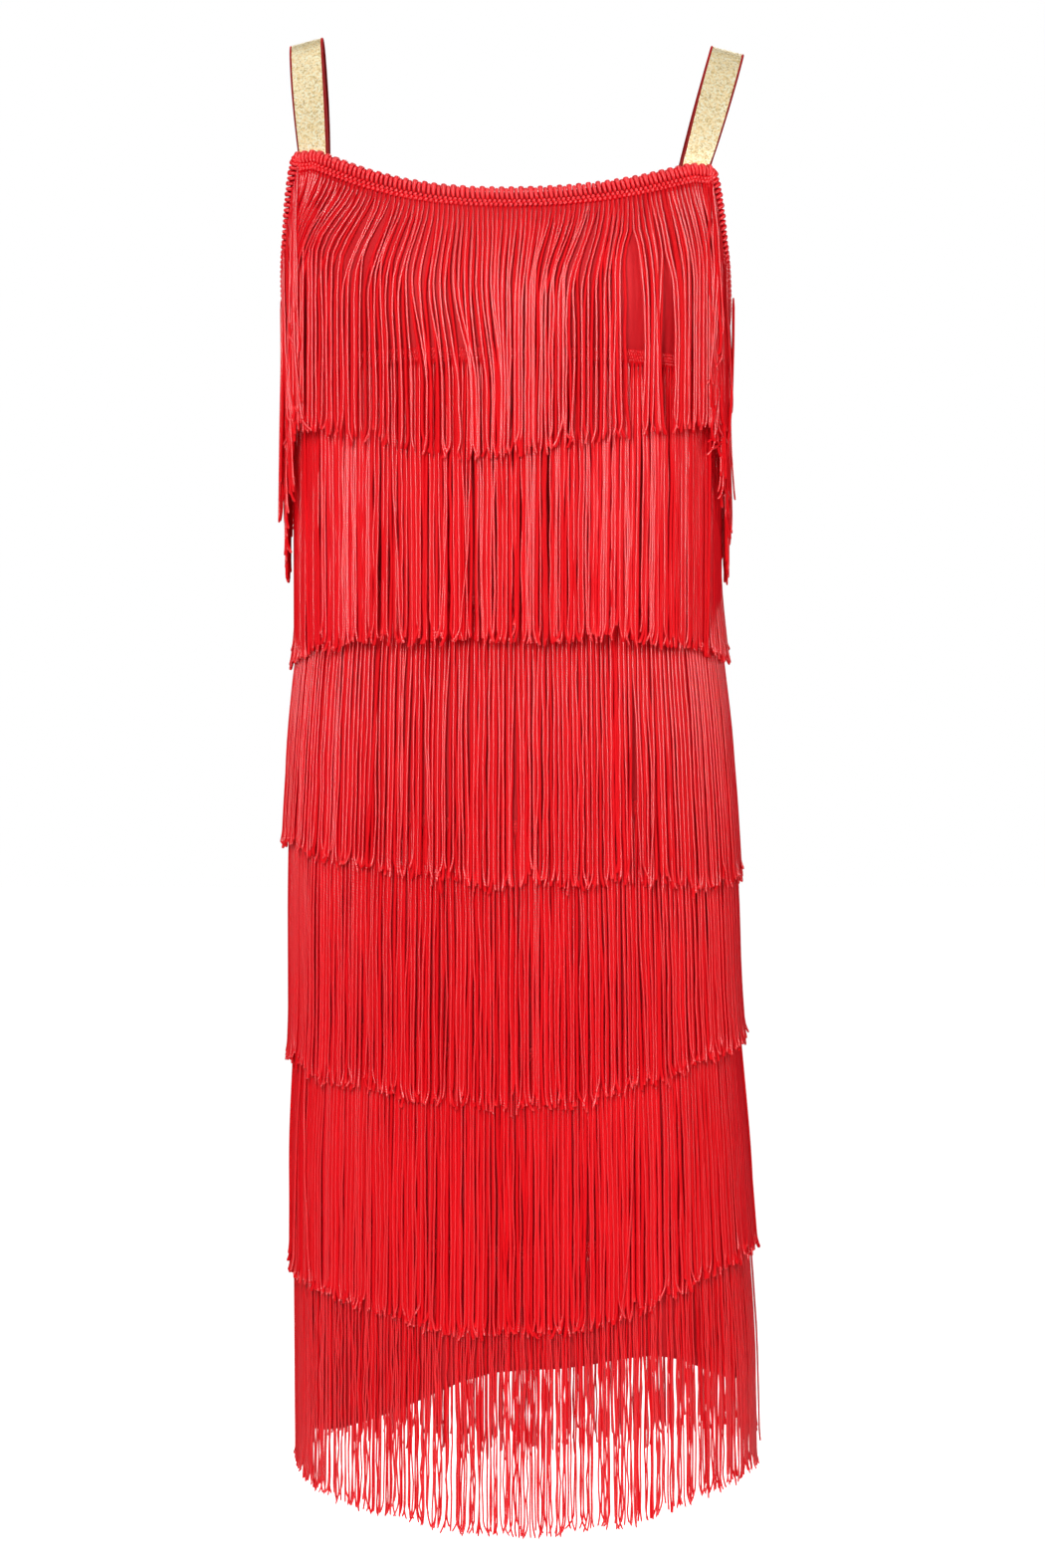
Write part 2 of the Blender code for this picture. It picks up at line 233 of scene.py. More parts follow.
# Of the first tier's front strands, by their places across the front: how far they are
# combed to the wearer's left as they leave the neckline, how far they swing that way
# again further down, and how much higher their tips end. Rows of (place, amount).
COMBED = (
    (-0.142, -0.003), (-0.128, -0.016), (-0.108, -0.029), (-0.076, -0.016),
    (-0.043, -0.0065), (-0.015, -0.001), (0.010, -0.004), (0.032, -0.012),
    (0.050, -0.016), (0.066, -0.009), (0.0725, -0.006), (0.078, -0.001),
    (0.085, 0.003), (0.105, 0.009), (0.120, 0.010), (0.137, 0.003),
)
SWUNG = (
    (-0.075, 0.0), (-0.050, 0.007), (-0.032, 0.010), (-0.015, 0.007),
    (0.002, 0.001),
)
LIFTED = (
    (-0.150, 0.002), (-0.130, 0.005), (-0.110, 0.007), (-0.075, 0.009),
    (-0.045, 0.006), (-0.015, 0.003), (0.015, 0.004), (0.040, 0.006),
    (0.060, 0.009), (0.100, 0.009), (0.125, 0.006), (0.150, 0.002),
)
COMBED_OVER = 0.055
SWUNG_FROM = 0.045
SWUNG_OVER = 0.075

# Where the first tier's strands have parted and the cloth shows: places across the
# front, half widths, how far to each side strands are moved, and how far down from the
# neckline each starts and ends
Parting = namedtuple("Parting", "x half_width reach starts ends")
PARTINGS = (
    Parting(0.0730, 0.0062, 0.018, 0.026, 0.160),
    Parting(0.0945, 0.0048, 0.014, 0.048, 0.162),
)


def eased(values):
    """A smooth rise from 0 to 1."""
    values = np.clip(values, 0.0, 1.0)
    return values * values * (3 - 2 * values)


def blurred(values, spread, axis, wraps):
    """A Gaussian blur along one axis. Spread is in steps of that axis."""
    reach = int(math.ceil(3 * spread))
    steps = np.arange(-reach, reach + 1)
    weights = np.exp(-0.5 * (steps / spread) ** 2)
    weights /= weights.sum()
    pad = [(0, 0)] * values.ndim
    pad[axis] = (reach, reach)
    padded = np.pad(values, pad, mode="wrap" if wraps else "edge")
    size = values.shape[axis]
    total = np.zeros_like(values)
    for start, weight in enumerate(weights):
        total += weight * np.take(padded, np.arange(start, start + size), axis=axis)
    return total


def unit(vectors):
    return vectors / np.linalg.norm(vectors, axis=-1, keepdims=True)


# ---- The form of the dress, read from the CAD solids ----


def solid_tree(node):
    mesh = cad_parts[node].data
    points = [v.co for v in mesh.vertices]
    return BVHTree.FromPolygons(points, [p.vertices for p in mesh.polygons])


def side_of(angle):
    return FRONT if angle < 0 else BACK


def outer_radius(tree, angle, z):
    """How far out the solid's outer face is from the axis, or None where it has none."""
    way = Vector((math.cos(angle), math.sin(angle), 0))
    hit = tree.ray_cast(Vector((AXIS_X, 0, z)) + way * RAY_START, -way, RAY_START)
    return None if hit[0] is None else RAY_START - hit[3]


def edge_height(tree, angle, inside, outside):
    """The height of the solid's edge between a height that meets it and one that doesn't."""
    for _ in range(HALVINGS):
        middle = (inside + outside) / 2
        if outer_radius(tree, angle, middle) is None:
            outside = middle
        else:
            inside = middle
    return (inside + outside) / 2


def read_cloth():
    """The outer radius of the cloth at each level and angle, and its top and bottom edges."""
    trees = {side: solid_tree(side + "_panel") for side in (FRONT, BACK)}
    radii = np.full((len(LEVELS), ANGLE_COUNT), np.nan)
    top, hem = np.zeros(ANGLE_COUNT), np.zeros(ANGLE_COUNT)
    for k, angle in enumerate(ANGLES):
        tree = trees[side_of(angle)]
        found = [outer_radius(tree, angle, z) for z in LEVELS]
        held = [n for n, radius in enumerate(found) if radius is not None]
        first, last = held[0], held[-1]
        for n in range(len(LEVELS)):
            radii[n, k] = found[min(max(n, first), last)]
        top[k] = edge_height(tree, angle, LEVELS[first], LEVELS[first - 1])
        hem[k] = edge_height(tree, angle, LEVELS[last], LEVELS[last + 1])
    radii = blurred(blurred(radii, ANGLE_BLUR, 1, True), LEVEL_BLUR, 0, False)
    return radii, top, hem


def read_heading(number):
    """The height of a trim's top edge at each angle, and how far its strands drop."""
    heights = np.zeros(ANGLE_COUNT)
    lowest = 0.0
    for side in (FRONT, BACK):
        node = f"fringe_{number}_{side}"
        tree = solid_tree(node)
        low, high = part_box(node)
        lowest = min(lowest, low[2])
        for k, angle in enumerate(ANGLES):
            if side_of(angle) != side:
                continue
            above = high[2] + LEVEL_STEP
            below = above - LEVEL_STEP
            while outer_radius(tree, angle, below) is None:
                above, below = below, below - LEVEL_STEP
            heights[k] = edge_height(tree, angle, below, above)
    if number > 1:
        heights = blurred(heights, ANGLE_BLUR, 0, True)
    return heights, heights.min() - lowest


CLOTH_RADII, CLOTH_TOP, CLOTH_HEM = read_cloth()


def cloth_radius(angle, z):
    """The cloth's outer radius, between the angles and levels it was read at."""
    across = (angle + math.pi) / FULL_TURN * ANGLE_COUNT - 0.5
    down = np.clip(-z / LEVEL_STEP, 0, len(LEVELS) - 1.001)
    left = np.floor(across).astype(int)
    upper = np.floor(down).astype(int)
    s, t = across - left, down - upper
    left, right = left % ANGLE_COUNT, (left + 1) % ANGLE_COUNT
    above = CLOTH_RADII[upper, left] * (1 - s) + CLOTH_RADII[upper, right] * s
    below = CLOTH_RADII[upper + 1, left] * (1 - s) + CLOTH_RADII[upper + 1, right] * s
    return above * (1 - t) + below * t


def cloth_facing(angle, z):
    """The level direction that the cloth faces there."""
    step = FULL_TURN / ANGLE_COUNT
    slope = (cloth_radius(angle + step, z) - cloth_radius(angle - step, z)) / (2 * step)
    radius = cloth_radius(angle, z)
    x = radius * np.cos(angle) + slope * np.sin(angle)
    y = radius * np.sin(angle) - slope * np.cos(angle)
    return unit(np.stack([x, y, np.zeros_like(x)], axis=-1))


def angle_at(points):
    return np.arctan2(points[..., 1], points[..., 0] - AXIS_X)


def cloth_point(angle, z, out):
    """A point that lies out from the cloth's outer face."""
    radius = cloth_radius(angle, z)
    on = np.stack([AXIS_X + radius * np.cos(angle), radius * np.sin(angle), z], axis=-1)
    return on + cloth_facing(angle, z) * np.asarray(out)[..., None]


def at_angle(values, angle):
    return np.interp(angle, ANGLES, values, period=FULL_TURN)


def laid_out(points, out):
    """The points moved level, along the way the cloth faces, to lie this far out."""
    points = points.copy()
    for _ in range(MOVES_TO_SETTLE):
        angle = angle_at(points)
        on = cloth_point(angle, points[..., 2], np.zeros_like(angle))
        facing = cloth_facing(angle, points[..., 2])
        away = ((points - on) * facing).sum(axis=-1)
        points += facing * (out - away)[..., None]
    return points


def distances(points):
    """How far along a line of points each of them lies."""
    steps = np.linalg.norm(np.diff(points, axis=0), axis=1)
    return np.concatenate([[0], np.cumsum(steps)])


def along_edge(side, heights, count):
    """Even angles round one side of the dress, and how far along these heights each is."""
    angles = np.linspace(*HALF_TURN[side], count)
    edge = cloth_point(angles, at_angle(heights, angles), np.zeros_like(angles))
    return angles, distances(edge)


# ---- Meshes ----


def new_mesh(name, points, loops, starts, material, uv, tones=None, second=None):
    """A smooth mesh from flat arrays: the corners of all faces, and where each starts.
    Second is another material, and whether each face takes it."""
    mesh = bpy.data.meshes.new(name)
    mesh.vertices.add(len(points))
    mesh.vertices.foreach_set("co", np.asarray(points, dtype=np.float32).ravel())
    mesh.loops.add(len(loops))
    mesh.loops.foreach_set("vertex_index", np.asarray(loops, dtype=np.int32))
    mesh.polygons.add(len(starts))
    mesh.polygons.foreach_set("loop_start", np.asarray(starts, dtype=np.int32))
    mesh.update(calc_edges=True)
    mesh.validate()
    layer = mesh.uv_layers.new(name="in_metres")
    layer.data.foreach_set("uv", np.asarray(uv, dtype=np.float32).ravel())
    if tones is not None:
        attribute = mesh.attributes.new("tone", "FLOAT", "POINT")
        attribute.data.foreach_set("value", np.asarray(tones, dtype=np.float32))
    mesh.materials.append(material)
    if second is not None:
        mesh.materials.append(second[0])
        mesh.polygons.foreach_set("material_index", second[1].astype(np.int32))
    mesh.shade_smooth()
    piece = bpy.data.objects.new(name, mesh)
    bpy.context.scene.collection.objects.link(piece)
    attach(piece, "root")
    return piece


Rods = namedtuple("Rods", "points loops starts uv tones")


def make_rods(centres, across, half_width, half_height, sides, tones):
    """Closed rods, one along each row of centres. Across is the way each is wide. Tones
    are by rod, or by rod and ring."""
    count, rows, _ = centres.shape
    along = unit(np.gradient(centres, axis=1))
    across = unit(across - along * (across * along).sum(axis=-1, keepdims=True))
    up = np.cross(along, across)
    turn = np.arange(sides) / sides * FULL_TURN
    wide = np.cos(turn) * np.broadcast_to(half_width, (count, rows))[..., None]
    high = np.sin(turn) * np.broadcast_to(half_height, (count, rows))[..., None]
    points = centres[:, :, None] + across[:, :, None] * wide[..., None]
    points = points + up[:, :, None] * high[..., None]

    first = (np.arange(count)[:, None, None] * rows + np.arange(rows)[:, None]) * sides
    here, there = np.arange(sides), (np.arange(sides) + 1) % sides
    a, b = first[:, :-1] + here, first[:, :-1] + there
    c, d = first[:, 1:] + there, first[:, 1:] + here
    walls = np.stack([a, b, c, d], axis=-1).reshape(-1, 4)
    ends = np.concatenate([first[:, 0] + here[::-1], first[:, -1] + here])
    loops = np.concatenate([walls.ravel(), ends.ravel()])
    starts = np.concatenate(
        [np.arange(len(walls)) * 4, len(walls) * 4 + np.arange(len(ends)) * sides]
    )

    lengths = np.linalg.norm(np.diff(centres, axis=1), axis=-1)
    run = np.concatenate([np.zeros((count, 1)), np.cumsum(lengths, axis=1)], axis=1)
    round_by = np.broadcast_to(here / sides, (count, rows - 1, sides))
    upper = np.broadcast_to(run[:, :-1, None], round_by.shape)
    lower = np.broadcast_to(run[:, 1:, None], round_by.shape)
    u = np.stack([round_by, round_by + 1 / sides, round_by + 1 / sides, round_by], axis=-1)
    v = np.stack([upper, upper, lower, lower], axis=-1)
    wall_uv = np.stack([u.ravel(), v.ravel()], axis=-1)
    end_v = np.repeat(np.concatenate([run[:, 0], run[:, -1]]), sides)
    end_uv = np.stack([np.full_like(end_v, 0.5), end_v], axis=-1)
    return Rods(
        points.reshape(-1, 3),
        loops,
        starts,
        np.concatenate([wall_uv, end_uv]),
        np.repeat(np.broadcast_to(tones.reshape(count, -1), (count, rows)).ravel(), sides),
    )


def joined(groups):
    """Several groups of rods as one."""
    points_before = np.cumsum([0] + [len(group.points) for group in groups])
    loops_before = np.cumsum([0] + [len(group.loops) for group in groups])
    moved = [
        group._replace(loops=group.loops + points, starts=group.starts + loops)
        for group, points, loops in zip(groups, points_before, loops_before)
    ]
    return Rods(*(np.concatenate(parts) for parts in zip(*moved)))


def rod_mesh(name, rods, material, second=None):
    shape = rods.points, rods.loops, rods.starts
    return new_mesh(name, *shape, material, rods.uv, rods.tones, second)


def make_grid(name, points, uv, thickness, material):
    """A sheet from rows of points, thickened inward."""
    rows, columns, _ = points.shape
    at = np.arange(rows * columns).reshape(rows, columns)
    quads = np.stack([at[:-1, :-1], at[1:, :-1], at[1:, 1:], at[:-1, 1:]], axis=-1)
    loops = quads.reshape(-1)
    starts = np.arange(len(loops) // 4) * 4
    corners_uv = uv.reshape(-1, 2)[loops]
    piece = new_mesh(name, points.reshape(-1, 3), loops, starts, material, corners_uv)
    solidify = piece.modifiers.new("Thickness", "SOLIDIFY")
    solidify.thickness = thickness
    solidify.offset = -1
    solidify.use_even_offset = True
    return piece


# ---- Materials ----


class Shading:
    """A material's nodes, made and joined by short calls."""

    def __init__(self, name):
        self.material = bpy.data.materials.new(name)
        self.material.use_nodes = True
        self.nodes = self.material.node_tree.nodes
        self.links = self.material.node_tree.links
        self.shader = self.nodes["Principled BSDF"]

    def set(self, **values):
        for label, value in values.items():
            self.shader.inputs[label.replace("_", " ")].default_value = value

    def node(self, kind, settings=None, **inputs):
        made = self.nodes.new("ShaderNode" + kind)
        for key, value in (settings or {}).items():
            setattr(made, key, value)
        for label, value in inputs.items():
            self.feed(made.inputs[label.replace("_", " ")], value)
        return made

    def feed(self, socket, value):
        if isinstance(value, bpy.types.NodeSocket):
            self.links.new(value, socket)
        else:
            socket.default_value = value

    def math(self, operation, first, second=0.0):
        made = self.node("Math", {"operation": operation})
        self.feed(made.inputs[0], first)
        self.feed(made.inputs[1], second)
        return made.outputs[0]

    def uv(self):
        made = self.node("UVMap", {"uv_map": "in_metres"})
        parts = self.node("SeparateXYZ", Vector=made.outputs["UV"])
        return parts.outputs["X"], parts.outputs["Y"]

    def noise(self, scale, detail, roughness):
        made = self.node("TexNoise", Scale=scale, Detail=detail, Roughness=roughness)
        place = self.node("TexCoord").outputs["Object"]
        self.links.new(place, made.inputs["Vector"])
        return made.outputs["Fac"]

    def mix(self, factor, first, second):
        made = self.node("Mix", {"data_type": "RGBA"})
        self.feed(made.inputs["Factor"], factor)
        self.feed(made.inputs["A"], first)
        self.feed(made.inputs["B"], second)
        return made.outputs["Result"]

    def bump(self, height, distance):
        made = self.node("Bump", Height=height, Distance=distance, Strength=1.0)
        self.links.new(made.outputs["Normal"], self.shader.inputs["Normal"])

    def color(self, value):
        self.feed(self.shader.inputs["Base Color"], value)


def yarn_material(name, deep, bright, twist_pitch, roughness, gloss=1.0):
    """Twisted rayon yarn: each strand has its own tone, and its plies wind round it. A
    tone over 1 is a painted highlight, pale salmon, and one under 0 is painted shade, a deep
    red."""
    look = Shading(name)
    look.set(Roughness=roughness, IOR=1.7, Specular_IOR_Level=gloss)
    look.set(Specular_Tint=(1.0, 0.78, 0.78, 1.0))
    look.set(Sheen_Weight=0.7, Sheen_Roughness=0.45, Sheen_Tint=(1.0, 0.01, 0.03, 1.0))
    tone = look.node("Attribute", {"attribute_name": "tone"}).outputs["Fac"]
    around, down = look.uv()
    streaks = look.noise(90.0, 3.0, 0.6)
    own = look.math("MULTIPLY", tone, 0.75)
    shade = look.math("ADD", own, look.math("MULTIPLY", streaks, 0.35))
    # Painted highlight: a tone over 1 turns the yarn pale salmon, as where light catches the
    # strands' tips
    tip_highlight = look.math("SUBTRACT", tone, 1.0)
    plain = look.mix(shade, deep, bright)
    # Painted shade: a tone under 0 turns the yarn a deep shadowed red
    under = look.math("MULTIPLY", tone, -1.0)
    shadowed = look.mix(under, plain, (0.54, 0.001, 0.005, 1.0))
    look.color(look.mix(tip_highlight, shadowed, (1.0, 0.11, 0.11, 1.0)))
    wound = look.math("ADD", around, look.math("MULTIPLY", down, 1 / twist_pitch))
    plies = look.math("SINE", look.math("MULTIPLY", wound, 2 * FULL_TURN))
    look.bump(plies, 0.00004)
    return look.material


def tape_material():
    """Woven tape: rows of small square floats, set half a square apart."""
    look = Shading("red_woven_tape")
    look.set(Roughness=0.42, Specular_IOR_Level=0.8, Specular_Tint=(1.0, 0.30, 0.30, 1.0))
    along, across = look.uv()
    place = look.node("CombineXYZ", X=along, Y=across)
    squares = look.node(
        "TexBrick",
        {"offset": 0.5},
        Scale=1.0,
        Vector=place.outputs[0],
        Brick_Width=0.0017,
        Row_Height=0.0018,
        Mortar_Size=0.0002,
        Mortar_Smooth=0.6,
        Color1=(0.80, 0.008, 0.014, 1.0),
        Color2=(0.92, 0.012, 0.020, 1.0),
        Mortar=(0.60, 0.003, 0.006, 1.0),
    )
    look.color(squares.outputs["Color"])
    look.bump(look.math("SUBTRACT", 1.0, squares.outputs["Fac"]), 0.0003)
    return look.material


def jersey_material():
    """Smooth knitted jersey: fine wales down the cloth, courses across, dull sheen."""
    look = Shading("red_jersey")
    look.set(Roughness=0.55, Specular_IOR_Level=0.6, Specular_Tint=(1.0, 0.3, 0.3, 1.0))
    across, down = look.uv()
    wale_pitch, course_pitch = 0.0009, 0.0007
    wales = look.math("SINE", look.math("MULTIPLY", across, FULL_TURN / wale_pitch))
    courses = look.math("SINE", look.math("MULTIPLY", down, FULL_TURN / course_pitch))
    relief = look.math("ADD", look.math("MULTIPLY", courses, 0.4), 0.7)
    knit = look.math("MULTIPLY", wales, relief)
    cloudy = look.noise(26.0, 4.0, 0.6)
    look.color(look.mix(cloudy, (0.56, 0.008, 0.014, 1.0), (0.66, 0.013, 0.019, 1.0)))
    look.bump(knit, 0.00004)
    return look.material


def glitter_material():
    """Gold lurex woven over elastic: short bright flat threads in fine cross ribs. Each flake
    has a random colour from dull to gold, and the palest are painted glints.
    """
    look = Shading("gold_glitter_elastic")
    look.set(Metallic=0.45, Roughness=0.38, Specular_IOR_Level=0.6)
    across, down = look.uv()
    flakes_across, flakes_down = 950.0, 1200.0
    place = look.node(
        "CombineXYZ",
        X=look.math("MULTIPLY", across, flakes_across),
        Y=look.math("MULTIPLY", down, flakes_down),
    )
    flakes = look.node("TexVoronoi", Scale=1.0, Randomness=1.0, Vector=place.outputs[0])
    flake = look.node("SeparateColor", Color=flakes.outputs["Color"]).outputs["Red"]
    # Flakes vary at random from dull to gold; the palest colour is a painted glint
    dull = (0.58, 0.42, 0.17, 1.0)
    gold = (0.98, 0.76, 0.38, 1.0)
    painted_glint = (1.0, 0.98, 0.78, 1.0)
    ramp = look.node("ValToRGB", Fac=flake)
    ramp.color_ramp.elements[0].color = dull
    ramp.color_ramp.elements[1].color = painted_glint
    ramp.color_ramp.elements.new(0.35).color = gold
    worn = look.noise(160.0, 3.0, 0.6)
    look.color(look.mix(look.math("MULTIPLY", worn, 0.2), ramp.outputs["Color"], gold))
    rib_pitch = 0.0011
    ribs = look.math("SINE", look.math("MULTIPLY", down, FULL_TURN / rib_pitch))
    ribbed = look.math("MULTIPLY", ribs, 0.4)
    look.bump(look.math("ADD", ribbed, look.math("MULTIPLY", flake, 1.2)), 0.00014)
    return look.material


FRINGE_RED = yarn_material(
    "red_fringe_yarn", (0.72, 0.001, 0.006, 1), (0.90, 0.001, 0.008, 1),
    twist_pitch=0.0034, roughness=0.265,
)
# Painted shade: the inner strands' yarn is a deeper red copy of the fringe yarn, and its
# dullness is its own low gloss
SHADED_INNER_RED = yarn_material(
    "red_inner_yarn_painted_shade", (0.66, 0.0005, 0.004, 1), (0.80, 0.001, 0.006, 1),
    twist_pitch=0.0034, roughness=0.55, gloss=0.10,
)
BRAID_RED = yarn_material(
    "red_braid", (0.74, 0.003, 0.008, 1), (0.92, 0.005, 0.012, 1),
    twist_pitch=0.0012, roughness=0.33, gloss=0.64,
)
TAPE_RED = tape_material()
# Painted shade: a very dark red for the tape under the neckline cords, seen only in the
# crevices between them
GROUND_IN_SHADE_RED = yarn_material(
    "red_braid_ground_painted_shade", (0.24, 0.001, 0.003, 1), (0.32, 0.001, 0.004, 1),
    twist_pitch=0.0012, roughness=0.6, gloss=0.1,
)
ELASTIC_BACK = yarn_material(
    "red_elastic_back", (0.55, 0.010, 0.020, 1), (0.75, 0.03, 0.045, 1),
    twist_pitch=0.0015, roughness=0.6,
)
SELVEDGE_RED = yarn_material(
    "dark_red_selvedge", (0.14, 0.004, 0.004, 1), (0.26, 0.010, 0.008, 1),
    twist_pitch=0.0010, roughness=0.6, gloss=0.1,
)
JERSEY = jersey_material()
GLITTER = glitter_material()


# ---- Cloth ----

Crease = namedtuple("Crease", "from_degrees from_z to_degrees to_z width depth")
CREASES = (
    Crease(-172, -0.215, -140, -0.245, 0.008, 0.0011),
    Crease(-170, -0.240, -146, -0.280, 0.007, 0.0008),
    Crease(-10, -0.212, -38, -0.240, 0.008, 0.0011),
    Crease(-8, -0.236, -33, -0.275, 0.006, 0.0008),
    Crease(-62, -0.150, -52, -0.215, 0.006, 0.0006),
    Crease(-165, -0.335, -120, -0.350, 0.009, 0.0010),
    Crease(-14, -0.330, -55, -0.347, 0.009, 0.0010),
    Crease(160, -0.220, 128, -0.250, 0.008, 0.0010),
    Crease(16, -0.222, 50, -0.252, 0.008, 0.0010),
    Crease(170, -0.332, 110, -0.352, 0.010, 0.0012),
    Crease(12, -0.334, 64, -0.350, 0.010, 0.0012),
    Crease(-128, -0.800, -120, -0.874, 0.010, 0.0014),
    Crease(-96, -0.790, -101, -0.860, 0.012, 0.0012),
    Crease(-66, -0.800, -60, -0.850, 0.009, 0.0014),
    Crease(70, -0.790, 64, -0.860, 0.011, 0.0013),
    Crease(118, -0.800, 124, -0.860, 0.010, 0.0012),
)


def crease_depth(angle, z):
    """How far the creases, which are soft troughs, draw the cloth in."""
    total = np.zeros_like(z)
    place = np.stack([angle * METRES_PER_RADIAN, z], axis=-1)
    for crease in CREASES:
        from_x = math.radians(crease.from_degrees) * METRES_PER_RADIAN
        to_x = math.radians(crease.to_degrees) * METRES_PER_RADIAN
        start = np.array([from_x, crease.from_z])
        way = np.array([to_x, crease.to_z]) - start
        along = np.clip(((place - start) @ way) / (way @ way), 0, 1)
        off = np.linalg.norm(place - start - along[..., None] * way, axis=-1)
        fade = np.sin(math.pi * (0.12 + 0.76 * along))
        total += crease.depth * fade * np.exp(-0.5 * (off / crease.width) ** 2)
    return total


def make_cloth(side):
    """The front or back of the dress, a thin shell on its solid's form."""
    fine, run = along_edge(side, CLOTH_TOP, CLOTH_EDGE_POINTS)
    angle = np.interp(np.linspace(0, run[-1], CLOTH_COLUMNS + 1), run, fine)
    top, hem = at_angle(CLOTH_TOP, angle), at_angle(CLOTH_HEM, angle)
    down = np.linspace(0, 1, CLOTH_ROWS + 1)[:, None]
    z = top + (hem - top) * down
    angles = np.broadcast_to(angle, z.shape)
    points = cloth_point(angles, z, -crease_depth(angles, z))
    uv = np.stack([angles * METRES_PER_RADIAN, -z], axis=-1)
    if side == BACK:
        uv[..., 0] += BACK_WALES_ASIDE
    piece = make_grid(f"cloth_{side}", points, uv, CLOTH_WALL, JERSEY)
    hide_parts(f"{side}_panel")
    return piece


# ---- Braided headings ----

Heading = namedtuple("Heading", "run points along facing inward top_z")


def heading_line(side, heights):
    """A trim's top edge at even steps, with the ways it runs, faces and lies inward."""
    fine, run = along_edge(side, heights, HEADING_POINTS)
    count = int(run[-1] / BRAID_STEP)
    steps = np.linspace(0, run[-1], count + 1)
    angle = np.interp(steps, run, fine)
    z = at_angle(heights, angle)
    points = cloth_point(angle, z, np.zeros_like(angle))
    along = unit(blurred(np.gradient(points, axis=0), BRAID_BLUR, 0, False))
    facing = cloth_facing(angle, z)
    inward = unit(np.cross(along, facing))
    return Heading(steps, points, along, facing, inward, z)


def on_heading(heading, at):
    """The heading's point and directions at distances along it."""

    def between(values):
        return np.stack([np.interp(at, heading.run, values[:, n]) for n in range(3)], axis=-1)

    ways = (heading.along, heading.facing, heading.inward)
    return between(heading.points), *(unit(between(way)) for way in ways)


def across_heading(heading, at, inward_by, out_by):
    """Points across the heading at distances along it: rows of (inward, out) places."""
    points, along, facing, inward = on_heading(heading, at)
    inward_by, out_by = np.asarray(inward_by), np.asarray(out_by)
    placed = points[:, None] + inward[:, None] * inward_by[None, :, None]
    placed = laid_out(placed, np.broadcast_to(out_by, placed.shape[:2]))
    return placed, np.broadcast_to(along[:, None], placed.shape)


def bead_rows(heading, beads, seed):
    """Rows of short beads of yarn along a heading."""
    chance = np.random.default_rng(seed)
    half = beads.half_length
    outs = beads.out - beads.sunk * np.array([1, 0, 0, 1])
    slant = beads.slant * np.array([-1, -0.5, 0.5, 1])
    groups = []
    for row, inward in enumerate(beads.rows_in):
        count = int(heading.run[-1] / beads.pitch)
        at = np.arange(count) + beads.first + beads.later * (row % 2)
        at = np.minimum(at * heading.run[-1] / count, heading.run[-1])
        places = [inward - half, inward - half / 2, inward + half / 2, inward + half]
        centres, across = across_heading(heading, at, places, outs)
        centres = centres - across * slant[None, :, None]
        width = BEAD_WIDTHS * beads.half_width
        height = BEAD_HEIGHTS * beads.half_height
        bead_tones = chance.uniform(*beads.tones, count)
        groups.append(make_rods(centres, across, width, height, beads.sides, bead_tones))
    return groups


def make_tape(number, side, heading, reach, material):
    """The flat woven tape that carries the strands. Reach is where it starts and ends
    below the heading's edge."""
    count = int(heading.run[-1] / TAPE_STEP)
    at = np.linspace(0, heading.run[-1], count + 1)
    places = np.linspace(*reach, TAPE_COLUMNS)
    out = np.full(TAPE_COLUMNS, TAPE_OUT + TAPE_THICKNESS)
    points, _ = across_heading(heading, at, places, out)
    points = points.transpose(1, 0, 2)
    uv = np.stack(np.broadcast_arrays(at[None, :], places[:, None]), axis=-1)
    return make_grid(f"tape_{number}_{side}", points, uv, TAPE_THICKNESS, material)


def neckline_ribs(heading, seed):
    """Cords that bind the neckline and armholes side by side, wrapped over the edge."""
    chance = np.random.default_rng(seed)
    ring = Ring(*np.array(RINGS).T)
    steep = 1 - np.clip(np.abs(heading.inward[:, 2]) * 2 - 1, 0, 1)
    pitches = RIB_PITCH * (1 + ARMHOLE_RIB_SHARE * steep)
    ribs_by = np.cumsum(np.gradient(heading.run) / pitches)
    count = int(ribs_by[-1])
    at = np.interp((np.arange(count) + 0.5) * ribs_by[-1] / count, ribs_by, heading.run)
    larger = 1 + ARMHOLE_RIB_SHARE * np.interp(at, heading.run, steep)[:, None]
    raised = (np.arange(count) % 2)[:, None]
    points, along, facing, inward = on_heading(heading, at)
    off = (points[:, :1] - HIGHER_X) / HIGHER_SPREAD
    middle = np.exp(-(off**2)) * (facing[:, 1:2] < 0)
    lift = raised * ring.raise_by * larger + ring.higher * HIGHER_BY * middle
    placed = points[:, None] + inward[:, None] * (ring.inward - lift)[..., None]
    placed = placed + facing[:, None] * (ring.out * larger)[..., None]
    placed = placed + along[:, None] * ring.lean[None, :, None]
    across = np.broadcast_to(along[:, None], placed.shape)
    uneven = chance.uniform(0.92, 1.08, (count, 1))
    width = ring.width * RIB_HALF_WIDTH * uneven * larger
    width = width * (1 + (RAISED_WIDER * raised + RIB_WIDER) * ring.wider)
    height = ring.height * RIB_HALF_HEIGHT * larger
    # Painted shade: the rings that turn over the edge take tones below 0
    tones = chance.uniform(0.1, 1.0, (count, 1)) - ring.darker
    return make_rods(placed, across, width, height, RIB_SIDES, tones)


def make_heading(number, side, heading):
    """A trim's heading: its tape, and the cords and stitches on it."""
    seed = 100 * number + (side == BACK)
    if number == 1:
        beads = bead_rows(heading, BRAID_BEADS, seed + 7)
        groups = [neckline_ribs(heading, seed), *beads]
        # The bound tape takes the dark red of painted shade
        tape = make_tape(number, side, heading, BOUND_TAPE, GROUND_IN_SHADE_RED)
    else:
        groups = []
        if number in STITCHED_TIERS and side == FRONT:
            groups = bead_rows(heading, STITCHES, seed + 7)
        tape = make_tape(number, side, heading, PLAIN_TAPE, TAPE_RED)
    pieces = [tape]
    if groups:
        pieces.append(rod_mesh(f"braid_{number}_{side}", joined(groups), BRAID_RED))
    for piece in pieces:
        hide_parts(f"fringe_{number}_{side}")


# ---- Strands of fringe ----


